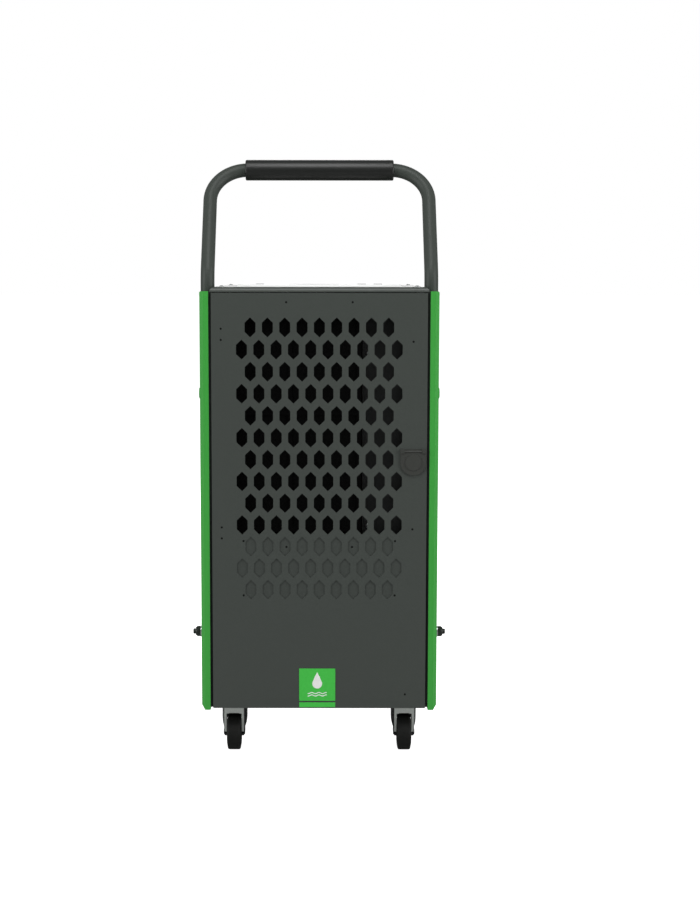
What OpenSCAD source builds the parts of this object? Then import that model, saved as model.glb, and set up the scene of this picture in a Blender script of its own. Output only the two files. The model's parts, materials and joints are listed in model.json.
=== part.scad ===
// Mobile refrigerant dehumidifier: sheet steel cabinet on castors, with a hinged
// front door, a bent tube handle and a complete refrigerating unit inside.
// X runs across the front, Y from the front to the rear, Z up from the floor.

/* [Cabinet] */
// Width over the two side covers
body_w = 430; // [428:1:440]
// Depth from the front plane to the rear plane
body_d = 420; // [415:5:470]
// Height of the chassis underside above the floor
underside_z = 90; // [90:1:92]
// Height of the top edge of the side covers
cover_top_z = 852; // [851:1:853]
// Thickness of the cabinet sheet
sheet = 1.5; // [1.2:0.1:1.6]
// Width of the front bevel of the side covers
cover_bevel = 6.5; // [5:0.5:7]

/* [Front door] */
// Width of the door
door_w = 388; // [384:1:389]
// Height of the door's lower edge
door_low_z = 91.5; // [91:0.5:93]
// Height of the door's upper edge
door_high_z = 849.3; // [847:0.1:849.6]
// Distance between intake slots, across
slot_pitch_x = 31; // [30:0.5:31.5]
// Distance between intake rows, up
slot_pitch_z = 39.65; // [39:0.05:40]
// Width of one six-sided intake slot
slot_w = 19.5; // [16:0.5:21]
// Height of one intake slot, point to point
slot_h = 35.5; // [30:0.5:37]
// Height of each of its two points
slot_tip = 9.5; // [6:0.5:11]
// Height of the centre of the uppermost row
slot_top_z = 787.8; // [780:0.1:790]
// Rows of slots that are open
open_rows = 10; // [8:1:10]
// Rows below them that a plate closes
blank_rows = 3; // [2:1:3]

/* [Handle] */
// Outer diameter of the handle tube
tube_d = 25; // [24:0.5:25]
// Wall of the handle tube
tube_wall = 1.5; // [1.2:0.1:2]
// Distance from the middle of the machine to each leg's centre
leg_x = 201; // [201:0.1:201.2]
// Distance of the legs behind the front plane
leg_y = 24; // [24:0.5:26]
// Height at which the legs bend
bend_z = 882; // [878:1:900]
// Length of the leaning part, bend to crossbar centre
lean_len = 228; // [200:0.5:240]
// Radius of the two upper corners
corner_r = 68; // [60:1:72]
// Length of the foam grip
grip_len = 274.5; // [240:0.5:284]
// Outer diameter of the foam grip
grip_d = 38; // [34:1:40]

/* [Castors] */
// Radius of the wheels
wheel_r = 33; // [31:0.5:33]
// Width of the tyre
wheel_w = 26.5; // [25:0.5:26.5]
// Distance of each castor from the middle of the machine
castor_x = 158; // [150:0.5:158]
// Distance of the swivel axis behind the front plane
swivel_y = 73; // [66:1:75]
// Distance between the swivel axis and the axle
trail = 21; // [18:1:22]
// Distance of the rear axle behind the front plane
rear_axle_y = 350; // [340:5:360]

/* [Hidden] */
$fn = 48;

graphite = "#404541";
leaf_green = "#46a647";
galvanised = "#b4b8b9";
near_black = "#1e201e";

front_proud = 5.1;
rear_proud = 22;
mid_y = (body_d + rear_proud - front_proud) / 2;

half_w = body_w / 2;
cover_in_x = half_w - 16.2;
cover_wall = 1.2;
cover_low_z = underside_z - 2;
cover_cut_x = 6;
cover_cut_z = 9;
side_x = 186.7;
side_wall = 1.2;
front_edge_y = 13;
bolt_low_z = 230;
bolt_high_z = 668.5;
bolt_r = 5;

// The lean has a round sine and cosine, 0.5376 and 0.8432, so that the tube's pieces meet exactly
lean = atan2(336, 527);
knee_r = 60;
knee = knee_r * 7 / 24;
tube_foot_z = 98;

lid_low_z = cover_top_z - 1.3;
lid_top_z = 860;
lid_half = 196.6;
lid_r = 9;

door_half = door_w / 2;
pivot = [-189.5, 5];
hinge_z = [775.4, 416.3];
hinge_rivet_gap = 20;
hinge_rivet_x = -176.5;
rivet_r = 1.9;
sheet_rivet_at = [[168.6, 762.4], [168.6, 423], [157, 117.4], [-59.4, 832.7], [59.4, 832.7]];
corner_rivet_at = [for (s = [-1, 1], z = [401.3, 301.3]) [s * 137.3, z]];
plate_rivet_at = [[-59.4, 390.3], [59.4, 390.3]];

lock_at = [169.5, 545.2];
lock_r = 23.5;
lock_top_z = lock_at[1] + 23.8;
lock_pin_at = [-3.5, lock_at[1] + 20];
ear_w = 8;
ear_h = 7.5;

duct_x = [-184, 77];
divider_x = 78;
deck_z = 391;
fan_at = [-53, 625];
fan_r = 118;
outlet_rows = 9;
drain_at = [-150, 135];
spout_y = 160;
riser_x = 72;
hot_riser_y = 102;
cold_riser_y = 40;
gland_at = [130, 150];

fascia_y = [50, 170];
fascia_half = 150;
fascia_h = 4;
key_at = [[-110, 110], [78, 110], [108, 110]];
key_r = 8;
display_at = [-10, 110];
display_size = [92, 40];

hub_half = 13.7;
fork_gap = 14;
fork_wall = 4.2;
fork_out = fork_gap + fork_wall;
axle_y = swivel_y - trail;
axle_r = 4;
fit = 0.06;
kingpin_r = 5;
fork_top_z = underside_z - 7.5;

// ---------------------------------------------------------------- helpers
module placed() {
    translate([0, -mid_y, 0]) children();
}

// A box between two corners
module block(a, b) {
    translate(a) cube(b - a);
}

// A sheet that faces the front: its outline is drawn in X and Z
module wall_y(y0, t) {
    translate([0, y0 + t, 0]) rotate([90, 0, 0]) linear_extrude(t) children();
}

// A sheet that faces the side: its outline is drawn in Y and Z
module wall_x(x0, t) {
    translate([x0, 0, 0]) rotate([90, 0, 90]) linear_extrude(t) children();
}

module rod_x(r, x0, x1, y, z) {
    translate([x0, y, z]) rotate([0, 90, 0]) cylinder(r = r, h = x1 - x0);
}

module rod_y(r, y0, y1, x, z) {
    translate([x, y1, z]) rotate([90, 0, 0]) cylinder(r = r, h = y1 - y0);
}

module rod_z(r, z0, z1, x, y) {
    translate([x, y, z0]) cylinder(r = r, h = z1 - z0);
}

// A hexagonal prism along X, by its distance across flats
module hex_x(flats, x0, x1, y, z) {
    translate([x0, y, z]) rotate([0, 90, 0]) cylinder(d = flats / cos(30), h = x1 - x0, $fn = 6);
}

// A bent pipe through axis-parallel points, with ball corners
module pipe_run(points, r) {
    for (i = [0 : len(points) - 2]) {
        run = points[i + 1] - points[i];
        translate(points[i])
            rotate([0, acos(run[2] / norm(run)), atan2(run[1], run[0])])
                cylinder(r = r, h = norm(run), $fn = 24);
        if (i > 0) translate(points[i]) sphere(r = r, $fn = 24);
    }
}

module mirrored() {
    children();
    mirror([1, 0, 0]) children();
}

// ---------------------------------------------------------------- chassis
module base_tray() {
    front = front_edge_y + 1.4;
    back = body_d - 4;
    color(galvanised) placed() difference() {
        block([-185, front, underside_z], [185, back, underside_z + 30]);
        block([-185 + sheet, front + sheet, underside_z + sheet],
            [185 - sheet, back - sheet, underside_z + 31]);
        for (at = castor_screw_at()) rod_z(3.1, underside_z - 1, underside_z + 3, at[0], at[1]);
    }
}

module inner_side() {
    x0 = side_x - side_wall;
    top = lid_top_z - sheet;
    difference() {
        union() {
            block([x0, front_edge_y, door_low_z], [side_x, body_d - sheet, top]);
            block([x0 - 8, front_edge_y, underside_z + 32], [side_x, front_edge_y + side_wall, top]);
            block([x0 - 10, body_d - sheet - side_wall, underside_z + 32], [side_x, body_d - sheet, top]);
            block([x0 - 12, front_edge_y, top - side_wall], [side_x, body_d - sheet, top]);
        }
        rod_x(bolt_r + 0.25, x0 - 1, side_x + 1, leg_y, bolt_low_z);
        rod_y(10, front_edge_y - 1, front_edge_y + 2, lock_at[0], lock_at[1]);
        block([x0 - 20, body_d - lid_r, lid_top_z - lid_r - 0.5], [side_x + 1, body_d, lid_top_z]);
        for (at = rear_screw_at()) rod_y(2.1, body_d - 5, body_d, at[0], at[1]);
        for (at = lid_screw_at()) rod_z(2.1, top - 2, top + 1, at[0], at[1]);
    }
}

module inner_sides() {
    color(galvanised) placed() mirrored() inner_side();
}

module mid_deck() {
    color(galvanised) placed() difference() {
        block([-185, front_edge_y + 1.4, deck_z], [185, body_d - 4, deck_z + side_wall]);
        rod_z(9, deck_z - 1, deck_z + 3, drain_at[0], spout_y);
        rod_z(6, deck_z - 1, deck_z + 3, riser_x, hot_riser_y);
        rod_z(7, deck_z - 1, deck_z + 3, riser_x, cold_riser_y);
    }
}

module divider() {
    color(galvanised) placed() union() {
        block([divider_x, 30, deck_z + 1.3], [divider_x + side_wall, body_d - 4, lid_top_z - 4]);
        block([divider_x, 30, deck_z + 1.3], [divider_x + 12, body_d - 4, deck_z + 1.3 + side_wall]);
    }
}

// ---------------------------------------------------------------- outer casing
module slot_outline() {
    polygon([[0, slot_h / 2], [slot_w / 2, slot_h / 2 - slot_tip],
        [slot_w / 2, slot_tip - slot_h / 2], [0, -slot_h / 2],
        [-slot_w / 2, slot_tip - slot_h / 2], [-slot_w / 2, slot_h / 2 - slot_tip]]);
}

// Rows of nine and ten slots in turn, centred on the machine
module slot_field(rows, top_z) {
    for (row = [0 : rows - 1]) {
        count = 9 + row % 2;
        for (i = [0 : count - 1])
            translate([(i - (count - 1) / 2) * slot_pitch_x, top_z - row * slot_pitch_z]) slot_outline();
    }
}

module rear_panel() {
    color(graphite) placed() wall_y(body_d - sheet, sheet) difference() {
        translate([-door_half, door_low_z]) square([door_w, door_high_z - door_low_z]);
        slot_field(outlet_rows, slot_top_z);
        translate(drain_at) circle(r = 8.1);
        translate(gland_at) circle(r = 10.1);
        for (at = rear_screw_at()) translate(at) circle(r = 2.1);
    }
}

// The cover's outline from above, set in by t; its inner side is open
function cover_plan(t, inner) = [[inner, t],
    [half_w - cover_bevel - 0.414 * t, t],
    [half_w - t, cover_bevel + 0.414 * t],
    [half_w - t, body_d - cover_bevel - 0.414 * t],
    [half_w - cover_bevel - 0.414 * t, body_d - t],
    [inner, body_d - t]];

// The cover's outline from the front, set in by t
function cover_front(t, inner) = [[inner, cover_low_z + t],
    [half_w - cover_cut_x - 0.5 * t, cover_low_z + t],
    [half_w - t, cover_low_z + cover_cut_z + 0.3 * t],
    [half_w - t, cover_top_z - 2 - 0.414 * t],
    [half_w - 2 - 0.414 * t, cover_top_z - t],
    [inner, cover_top_z - t]];

module cover_form(t, inner) {
    intersection() {
        linear_extrude(cover_top_z + 10) polygon(cover_plan(t, inner));
        wall_y(-1, body_d + 2) polygon(cover_front(t, inner));
    }
}

module side_cover() {
    placed() difference() {
        cover_form(0, cover_in_x);
        cover_form(cover_wall, cover_in_x - 5);
        rod_z(tube_d / 2 + 0.25, cover_top_z - 5, cover_top_z + 5, leg_x, leg_y);
        rod_x(bolt_r + 0.25, half_w - 5, half_w + 5, leg_y, bolt_low_z);
        rod_x(4.25, half_w - 5, half_w + 5, leg_y, bolt_high_z);
    }
}

module side_cover_right() {
    color(leaf_green) side_cover();
}

module side_cover_left() {
    color(leaf_green) mirror([1, 0, 0]) side_cover();
}

// A flat cap with rounded upper edges, from 'low' to 'high' between a and b
module cap_outline(a, b, low, high, r) {
    intersection() {
        union() {
            translate([a + r, low]) square([b - a - 2 * r, high - low]);
            translate([a, low]) square([b - a, high - low - r]);
            for (p = [a + r, b - r]) translate([p, high - r]) circle(r = r);
        }
        translate([a, low]) square([b - a, high - low]);
    }
}

module lid_form(t) {
    intersection() {
        wall_x(-lid_half, 2 * lid_half) cap_outline(t, body_d - t, lid_low_z - t, lid_top_z - t, lid_r - t);
        wall_y(0, body_d) cap_outline(t - lid_half, lid_half - t, lid_low_z - t, lid_top_z - t, lid_r - t);
    }
}

module lid() {
    color(graphite) placed() difference() {
        lid_form(0);
        lid_form(sheet);
        for (s = [-1, 1]) rod_z(tube_d / 2 + 0.8, lid_low_z - 5, lid_top_z + 5, s * leg_x, leg_y);
        for (at = lid_screw_at()) rod_z(2.1, lid_top_z - 4, lid_top_z + 1, at[0], at[1]);
    }
}

// ---------------------------------------------------------------- handle
module leaned() {
    translate([0, leg_y, bend_z]) rotate([-lean, 0, 0]) children();
}

// One lower bend: a quarter ring that the leaned plane cuts off where the leg goes on
module knee_form(r, x) {
    intersection() {
        translate([x, leg_y + knee_r, bend_z - knee]) rotate([90, 0, 90])
            rotate([0, 0, 90]) rotate_extrude(angle = 90) translate([knee_r, 0]) circle(r = r);
        leaned() block([x - 20, -30, -60], [x + 20, knee_r, knee]);
    }
}

// The whole bent form at radius r: legs, knee bends, corners and crossbar
module tube_form(r) {
    corner_x = leg_x - corner_r;
    corner_z = lean_len - corner_r;
    for (s = [-1, 1]) {
        rod_z(r, tube_foot_z, bend_z - knee, s * leg_x, leg_y);
        knee_form(r, s * leg_x);
        leaned() rod_z(r, knee, corner_z, s * leg_x, 0);
    }
    leaned() mirrored() translate([corner_x, 0, corner_z]) rotate([90, 0, 0])
        rotate_extrude(angle = 90) translate([corner_r, 0]) circle(r = r);
    leaned() rod_x(r, -corner_x, corner_x, 0, lean_len);
}

module handle_tube() {
    color(graphite) placed() difference() {
        tube_form(tube_d / 2);
        tube_form(tube_d / 2 - tube_wall);
        rod_x(bolt_r + 0.2, -half_w, half_w, leg_y, bolt_low_z);
        for (s = [-1, 1]) rod_x(4.2, s * (leg_x + 8) - 6, s * (leg_x + 8) + 6, leg_y, bolt_high_z);
    }
}

// The foam's bore widens at its ends, where the tube starts to bend
module grip() {
    straight = leg_x - corner_r;
    color(near_black) placed() leaned() difference() {
        rod_x(grip_d / 2, -grip_len / 2, grip_len / 2, 0, lean_len);
        rod_x(tube_d / 2, -grip_len / 2 - 1, grip_len / 2 + 1, 0, lean_len);
        mirrored() rod_x(tube_d / 2 + 0.6, straight, grip_len / 2 + 1, 0, lean_len);
    }
}

module handle_bolts() {
    head_x = side_x - side_wall;
    color(near_black) placed() mirrored() union() {
        hex_x(17, head_x - 6.4, head_x, leg_y, bolt_low_z);
        rod_x(bolt_r, head_x, half_w + 15, leg_y, bolt_low_z);
        translate([half_w + 15, leg_y, bolt_low_z]) rotate([0, 90, 0])
            cylinder(r1 = bolt_r, r2 = bolt_r - 1, h = 1.2);
    }
}

module handle_upper_screws() {
    color(leaf_green) placed() mirrored() union() {
        rod_x(4, leg_x + 4, half_w, leg_y, bolt_high_z);
        rod_x(11, half_w, half_w + 1, leg_y, bolt_high_z);
        translate([half_w + 1, leg_y, bolt_high_z]) rotate([0, 90, 0]) cylinder(r1 = 11, r2 = 8.5, h = 1.2);
    }
}

module handle_washers() {
    color(galvanised) placed() mirrored() difference() {
        rod_x(10, half_w, half_w + 2.4, leg_y, bolt_low_z);
        rod_x(bolt_r + 0.25, half_w - 1, half_w + 4, leg_y, bolt_low_z);
    }
}

module handle_nuts() {
    color(near_black) placed() mirrored() difference() {
        intersection() {
            hex_x(17, half_w + 2.4, half_w + 11.4, leg_y, bolt_low_z);
            translate([half_w + 2.4, leg_y, bolt_low_z]) rotate([0, 90, 0])
                cylinder(r1 = 14, r2 = 7.4, h = 9);
        }
        rod_x(bolt_r, half_w, half_w + 13, leg_y, bolt_low_z);
    }
}

// ---------------------------------------------------------------- controls
module control_fascia() {
    slope = 3;
    low = lid_top_z;
    high = lid_top_z + fascia_h;
    color("#e9ebe9") placed() difference() {
        intersection() {
            wall_y(fascia_y[0], fascia_y[1] - fascia_y[0])
                polygon([[-fascia_half, low], [fascia_half, low],
                    [fascia_half - slope, high], [slope - fascia_half, high]]);
            wall_x(-fascia_half, 2 * fascia_half)
                polygon([[fascia_y[0], low], [fascia_y[1], low],
                    [fascia_y[1] - slope, high], [fascia_y[0] + slope, high]]);
        }
        translate([display_at[0] - display_size[0] / 2, display_at[1] - display_size[1] / 2, high - 1.5])
            cube([display_size[0], display_size[1], 5]);
        for (at = key_at) {
            rod_z(key_r + 0.3, low - 1, high + 1, at[0], at[1]);
            rod_z(key_r + 2, low - 1, low + 2.4, at[0], at[1]);
        }
    }
}

module display_window() {
    color("#141a1c") placed()
        translate([display_at[0] - display_size[0] / 2 + 0.1, display_at[1] - display_size[1] / 2 + 0.1,
            lid_top_z + fascia_h - 1.5])
            cube([display_size[0] - 0.2, display_size[1] - 0.2, 1.7]);
}

module key_cap(at, tint) {
    color(tint) placed() union() {
        rod_z(key_r + 1.6, lid_top_z + 1.1, lid_top_z + 2.1, at[0], at[1]);
        rod_z(key_r, lid_top_z + 2, lid_top_z + fascia_h + 0.8, at[0], at[1]);
    }
}

module key_power() {
    key_cap(key_at[0], leaf_green);
}

module key_minus() {
    key_cap(key_at[1], graphite);
}

module key_plus() {
    key_cap(key_at[2], graphite);
}

// ---------------------------------------------------------------- air path
module air_filter() {
    low = [-182, 20, deck_z + 24];
    high = [76, 29, 848];
    color(near_black) placed() difference() {
        block(low, high);
        for (i = [0 : 1], j = [0 : 3])
            translate([low[0] + 8 + i * 124, low[1] - 1, low[2] + 8 + j * 106]) cube([118, 4, 100]);
    }
}

// A finned coil with return bends; its end plates start at plate_y0
module coil(y0, y1, plate_y0) {
    low_z = deck_z + 23;
    high_z = 850;
    bends = 8;
    pitch = (high_z - low_z) / bends;
    mid = (y0 + y1) / 2;
    color("#a9b0b3") placed() union() {
        block([-168, y0, low_z], [62, y1, high_z]);
        for (x = [-169.2, 61.9]) block([x, plate_y0, low_z - 2], [x + 1.3, y1 + 2, high_z + 2]);
        for (i = [0 : bends - 1], s = [0 : 1])
            translate([s == 0 ? -169 : 63, mid, low_z + (i + 0.5) * pitch]) rotate([0, s == 0 ? -90 : 90, 0])
                rotate([90, 0, 0]) rotate_extrude(angle = 180) translate([10, 0]) circle(r = 4, $fn = 24);
    }
}

module evaporator() {
    coil(48, 92, 29.2);
}

module condenser() {
    coil(112, 156, 110);
}

module fan_shroud() {
    y0 = 180;
    color(galvanised) placed() difference() {
        union() {
            block([duct_x[0], y0, deck_z + 1.3], [duct_x[1], y0 + sheet, lid_top_z - 4]);
            rod_y(fan_r + 6, y0, y0 + 24, fan_at[0], fan_at[1]);
        }
        rod_y(fan_r + 4.5, y0 - 1, y0 + 25, fan_at[0], fan_at[1]);
    }
}

module fan_motor() {
    color("#2b2d2c") placed() difference() {
        union() {
            rod_y(41, 218, 276, fan_at[0], fan_at[1]);
            rod_y(16, 212, 219, fan_at[0], fan_at[1]);
            for (a = [30, 150, 270]) translate([fan_at[0], 0, fan_at[1]]) rotate([0, a, 0]) {
                block([38, 222, -6], [135, 225, 6]);
                block([132, 181.5, -6], [135, 225, 6]);
            }
        }
        rod_y(4 + fit, 211, 240, fan_at[0], fan_at[1]);
    }
}

module fan_shaft() {
    color("#c9cdd0") placed() rod_y(4, 186, 238, fan_at[0], fan_at[1]);
}

module impeller() {
    blades = 5;
    y0 = 184;
    y1 = 204;
    color("#33383a") placed() difference() {
        union() {
            difference() {
                union() {
                    rod_y(38, y0, y1, fan_at[0], fan_at[1]);
                    intersection() {
                        rod_y(fan_r, y0 + 1, y1, fan_at[0], fan_at[1]);
                        for (i = [0 : blades - 1])
                            translate([fan_at[0], (y0 + y1) / 2, fan_at[1]])
                                rotate([0, i * 360 / blades, 0]) rotate([28, 0, 0])
                                    translate([30, -1.2, -34]) cube([100, 2.4, 68]);
                    }
                }
                rod_y(32, y0 + 4, y1 + 1, fan_at[0], fan_at[1]);
            }
            rod_y(12, y0 + 3, y1, fan_at[0], fan_at[1]);
        }
        rod_y(4, y0 - 1, y1 + 1, fan_at[0], fan_at[1]);
    }
}

// ---------------------------------------------------------------- refrigerating unit
can_at = [-30, 255];
can_r = 59;
can_low_z = 114;
can_high_z = 318;
foot_r = 78;

module can_form(x, y, r, low, high, dome) {
    rod_z(r, low, high, x, y);
    for (end = [[low, high], [high, low]])
        intersection() {
            translate([x, y, end[0] + (end[1] > end[0] ? 1 : -1) * (dome - r / 3)]) sphere(r = dome);
            rod_z(r, low - r, high + r, x, y);
        }
}

module compressor() {
    acc_x = can_at[0] - can_r - 34;
    color(near_black) placed() union() {
        can_form(can_at[0], can_at[1], can_r, can_low_z + 12, can_high_z - 12, 96);
        difference() {
            rod_z(foot_r + 12, can_low_z - 3, can_low_z, can_at[0], can_at[1]);
            for (i = [0 : 2])
                rod_z(7, can_low_z - 4, can_low_z + 1,
                    can_at[0] + foot_r * cos(90 + 120 * i), can_at[1] + foot_r * sin(90 + 120 * i));
        }
        can_form(acc_x, can_at[1], 24, 160, 300, 34);
        pipe_run([[acc_x, can_at[1], 155], [acc_x, can_at[1], 140], [can_at[0] - 40, can_at[1], 140]], 6);
        block([acc_x, can_at[1] - 8, 210], [can_at[0] - 40, can_at[1] + 8, 226]);
        block([can_at[0] - 30, can_at[1] - 24, can_high_z],
            [can_at[0] + 14, can_at[1] + 12, can_high_z + 16]);
        rod_z(7, 296, 312, acc_x, can_at[1]);
        rod_z(6, 296, 322, 10, can_at[1] + 30);
    }
}

module compressor_mounts() {
    color("#191a1a") placed() for (i = [0 : 2]) {
        x = can_at[0] + foot_r * cos(90 + 120 * i);
        y = can_at[1] + foot_r * sin(90 + 120 * i);
        union() {
            rod_z(12, underside_z + sheet, can_low_z - 3, x, y);
            rod_z(6.8, can_low_z - 3.1, can_low_z, x, y);
            rod_z(11, can_low_z, can_low_z + 8, x, y);
        }
    }
}

module refrigerant_pipes() {
    acc_x = can_at[0] - can_r - 34;
    cold_z = 365;
    hot_z = 346;
    cross_x = 50;
    plate_x = 63.2;
    color("#b87350") placed() {
        pipe_run([[acc_x, can_at[1], 312], [acc_x, can_at[1], cold_z], [cross_x, can_at[1], cold_z],
            [cross_x, cold_riser_y, cold_z], [riser_x, cold_riser_y, cold_z],
            [riser_x, cold_riser_y, 420], [riser_x, 70, 420], [plate_x, 70, 420]], 5);
        pipe_run([[10, can_at[1] + 30, 322], [10, can_at[1] + 30, hot_z], [riser_x, can_at[1] + 30, hot_z],
            [riser_x, hot_riser_y, hot_z], [riser_x, hot_riser_y, 845], [riser_x, 134, 845],
            [plate_x, 134, 845]], 4);
        pipe_run([[-169.2, 134, 419], [-177, 134, 419], [-177, 70, 419], [-169.2, 70, 419]], 2.5);
    }
}

module drip_tray() {
    low = [-182, 34, deck_z + 1.4];
    high = [66, 172, deck_z + 19];
    wall = 2;
    color("#2f3432") placed() difference() {
        union() {
            block(low, high);
            rod_z(8, deck_z - 24, low[2] + 1, drain_at[0], spout_y);
        }
        block(low + [wall, wall, wall + 1], high + [-wall, -wall, 1]);
        rod_z(6, deck_z - 25, low[2] + 5, drain_at[0], spout_y);
    }
}

// Rubber hose pushed over the spout and over the inner end of the spigot
module drain_hose() {
    top = [drain_at[0], spout_y, deck_z - 10];
    bend = [drain_at[0], spout_y, drain_at[1]];
    end = [drain_at[0], body_d - 8, drain_at[1]];
    color("#1d1f1e") placed() difference() {
        pipe_run([top, bend, end], 10.5);
        pipe_run([top + [0, 0, 1], bend, end + [0, 1, 0]], 8.05);
    }
}

module drain_spigot() {
    y1 = body_d + rear_proud;
    color("#2f3432") placed() difference() {
        union() {
            rod_y(8, body_d - 22, y1, drain_at[0], drain_at[1]);
            rod_y(13, body_d, body_d + 3, drain_at[0], drain_at[1]);
            translate([drain_at[0], body_d - sheet, drain_at[1]]) rotate([90, 0, 0])
                cylinder(d = 28, h = 6, $fn = 6);
        }
        rod_y(6, body_d - 23, y1 + 1, drain_at[0], drain_at[1]);
    }
}

// ---------------------------------------------------------------- electrics
module electrics_cover() {
    x0 = divider_x + side_wall + 0.2;
    color("#2d302e") placed() difference() {
        union() {
            block([x0, 40, deck_z + 3], [176, 41.2, lid_top_z - 4]);
            block([x0, 40, deck_z + 3], [x0 + side_wall, 70, lid_top_z - 4]);
        }
        for (at = box_screw_at()) rod_y(2.1, 39, 43, at[0], at[1]);
    }
}

module control_board() {
    low = [divider_x + 8, 90, 520];
    color("#2f6b3f") placed() union() {
        block(low, low + [1.6, 130, 200]);
        block([divider_x + side_wall, 94, 524], [low[0] + 1, 102, 532]);
        block([divider_x + side_wall, 208, 706], [low[0] + 1, 216, 714]);
        for (i = [0 : 3]) block(low + [1.5, 12 + 28 * i, 20], low + [18, 34 + 28 * i, 38]);
        block(low + [1.5, 20, 60], low + [30, 62, 98]);
        translate(low + [1.5, 96, 90]) rotate([0, 90, 0]) cylinder(r = 16, h = 44);
        block(low + [1.5, 10, 166], low + [14, 120, 184]);
    }
}

module cable_gland() {
    color("#202221") placed() difference() {
        union() {
            rod_y(10, body_d - 10, body_d, gland_at[0], gland_at[1]);
            translate([gland_at[0], body_d - sheet, gland_at[1]]) rotate([90, 0, 0])
                cylinder(d = 27, h = 5, $fn = 6);
            translate([gland_at[0], body_d + 6, gland_at[1]]) rotate([90, 0, 0])
                cylinder(d = 27, h = 6, $fn = 6);
            translate([gland_at[0], body_d + 6, gland_at[1]]) rotate([-90, 0, 0])
                cylinder(r1 = 11, r2 = 8, h = 12);
        }
        rod_y(5, body_d - 11, body_d + 19, gland_at[0], gland_at[1]);
    }
}

// ---------------------------------------------------------------- small fasteners
function rear_screw_at() = [for (z = [130, 380, 620, 838], s = [-1, 1]) [s * 180, z]];
function lid_screw_at() = [for (y = [60, body_d - 40], s = [-1, 1]) [s * 178, y]];
function box_screw_at() = [[88.3, 740], [88.3, 424]];

// A pan head screw with its head outside the sheet; it points inwards along +Z
module pan_screw() {
    cylinder(r = 2, h = 8);
    translate([0, 0, -1.2]) cylinder(r = 3.8, h = 1.2);
    translate([0, 0, -2.4]) cylinder(r1 = 2.4, r2 = 3.8, h = 1.2);
}

module panel_screws() {
    color(galvanised) placed() {
        for (at = rear_screw_at()) translate([at[0], body_d, at[1]]) rotate([90, 0, 0]) pan_screw();
        for (at = lid_screw_at()) translate([at[0], at[1], lid_top_z]) rotate([180, 0, 0]) pan_screw();
        for (at = box_screw_at()) translate([at[0], 40, at[1]]) rotate([-90, 0, 0]) pan_screw();
    }
}

// ---------------------------------------------------------------- front door
module knuckle(z0, z1) {
    rod_z(3.2, z0, z1, pivot[0], pivot[1]);
}

module frame_hinge_leaves() {
    color(galvanised) placed() for (z = hinge_z) difference() {
        union() {
            knuckle(z - 15, z - 0.2);
            block([-side_x - side_wall, pivot[1], z - 15], [-side_x, front_edge_y + 30, z - 0.2]);
        }
        rod_z(1.5, z - 16, z + 1, pivot[0], pivot[1]);
    }
}

module hinge_pins() {
    color("#c9cdd0") placed() for (z = hinge_z) union() {
        rod_z(1.5, z - 16, z + 15.5, pivot[0], pivot[1]);
        rod_z(2.6, z + 15.2, z + 16.4, pivot[0], pivot[1]);
    }
}

module door_hinge_leaves() {
    color(galvanised) placed() for (z = hinge_z) difference() {
        union() {
            knuckle(z + 0.2, z + 15);
            block([pivot[0], sheet, z - 15], [hinge_rivet_x + 8, sheet + side_wall, z + 15]);
        }
        rod_z(1.5 + 0.05, z - 16, z + 16, pivot[0], pivot[1]);
        rod_z(3.6, z - 16, z, pivot[0], pivot[1]);
        for (g = [-0.5, 0.5]) rod_y(rivet_r, 0, 5, hinge_rivet_x, z + g * hinge_rivet_gap);
    }
}

function hinge_rivet_at() = [for (z = hinge_z, g = [-0.5, 0.5]) [hinge_rivet_x, z + g * hinge_rivet_gap]];
function door_rivet_at() = concat(sheet_rivet_at, corner_rivet_at, hinge_rivet_at());

module front_door() {
    lip = 6.5;
    hem = 12;
    color(graphite) placed() difference() {
        union() {
            wall_y(0, sheet) difference() {
                translate([-door_half, door_low_z]) square([door_w, door_high_z - door_low_z]);
                slot_field(open_rows + blank_rows, slot_top_z);
                translate(lock_at) circle(r = 9.3);
                for (at = door_rivet_at()) translate(at) circle(r = rivet_r);
            }
            for (x = [-door_half, door_half - sheet])
                block([x, 0, door_low_z], [x + sheet, lip, door_high_z]);
            for (z = [door_low_z, door_high_z - sheet])
                block([-180, 0, z], [176, hem, z + sheet]);
        }
        for (z = hinge_z) block([-door_half - 1, sheet, z - 18], [-door_half + 4, lip + 1, z + 18]);
    }
}

module blanking_plate() {
    low_z = slot_top_z - (open_rows + blank_rows - 1) * slot_pitch_z - slot_h / 2 - 6;
    high_z = slot_top_z - open_rows * slot_pitch_z + slot_h / 2 + 2;
    color(graphite) placed() wall_y(sheet, side_wall) difference() {
        translate([-156, low_z]) square([312, high_z - low_z]);
        for (at = concat(corner_rivet_at, plate_rivet_at)) translate(at) circle(r = rivet_r);
    }
}

module rivet(at, y0) {
    rod_y(rivet_r, y0, 3.6, at[0], at[1]);
    rod_y(2.6, sheet + side_wall, 4.2, at[0], at[1]);
}

module door_rivets() {
    color(near_black) placed() {
        for (at = door_rivet_at()) rivet(at, -0.1);
        for (at = plate_rivet_at) rivet(at, sheet - 0.1);
    }
}

module badge() {
    x0 = -36.5;
    wide = 66;
    color("#4ab14a") placed() {
        block([x0, -0.8, 105.4], [x0 + wide, 0, 165.6]);
        block([x0, -0.8, 93.4], [x0 + wide, 0, 102.4]);
    }
}

// ---------------------------------------------------------------- door lock
module u_outline(r, top_z) {
    translate(lock_at) circle(r = r);
    translate([lock_at[0] - r, lock_at[1]]) square([2 * r, top_z - lock_at[1]]);
}

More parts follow.
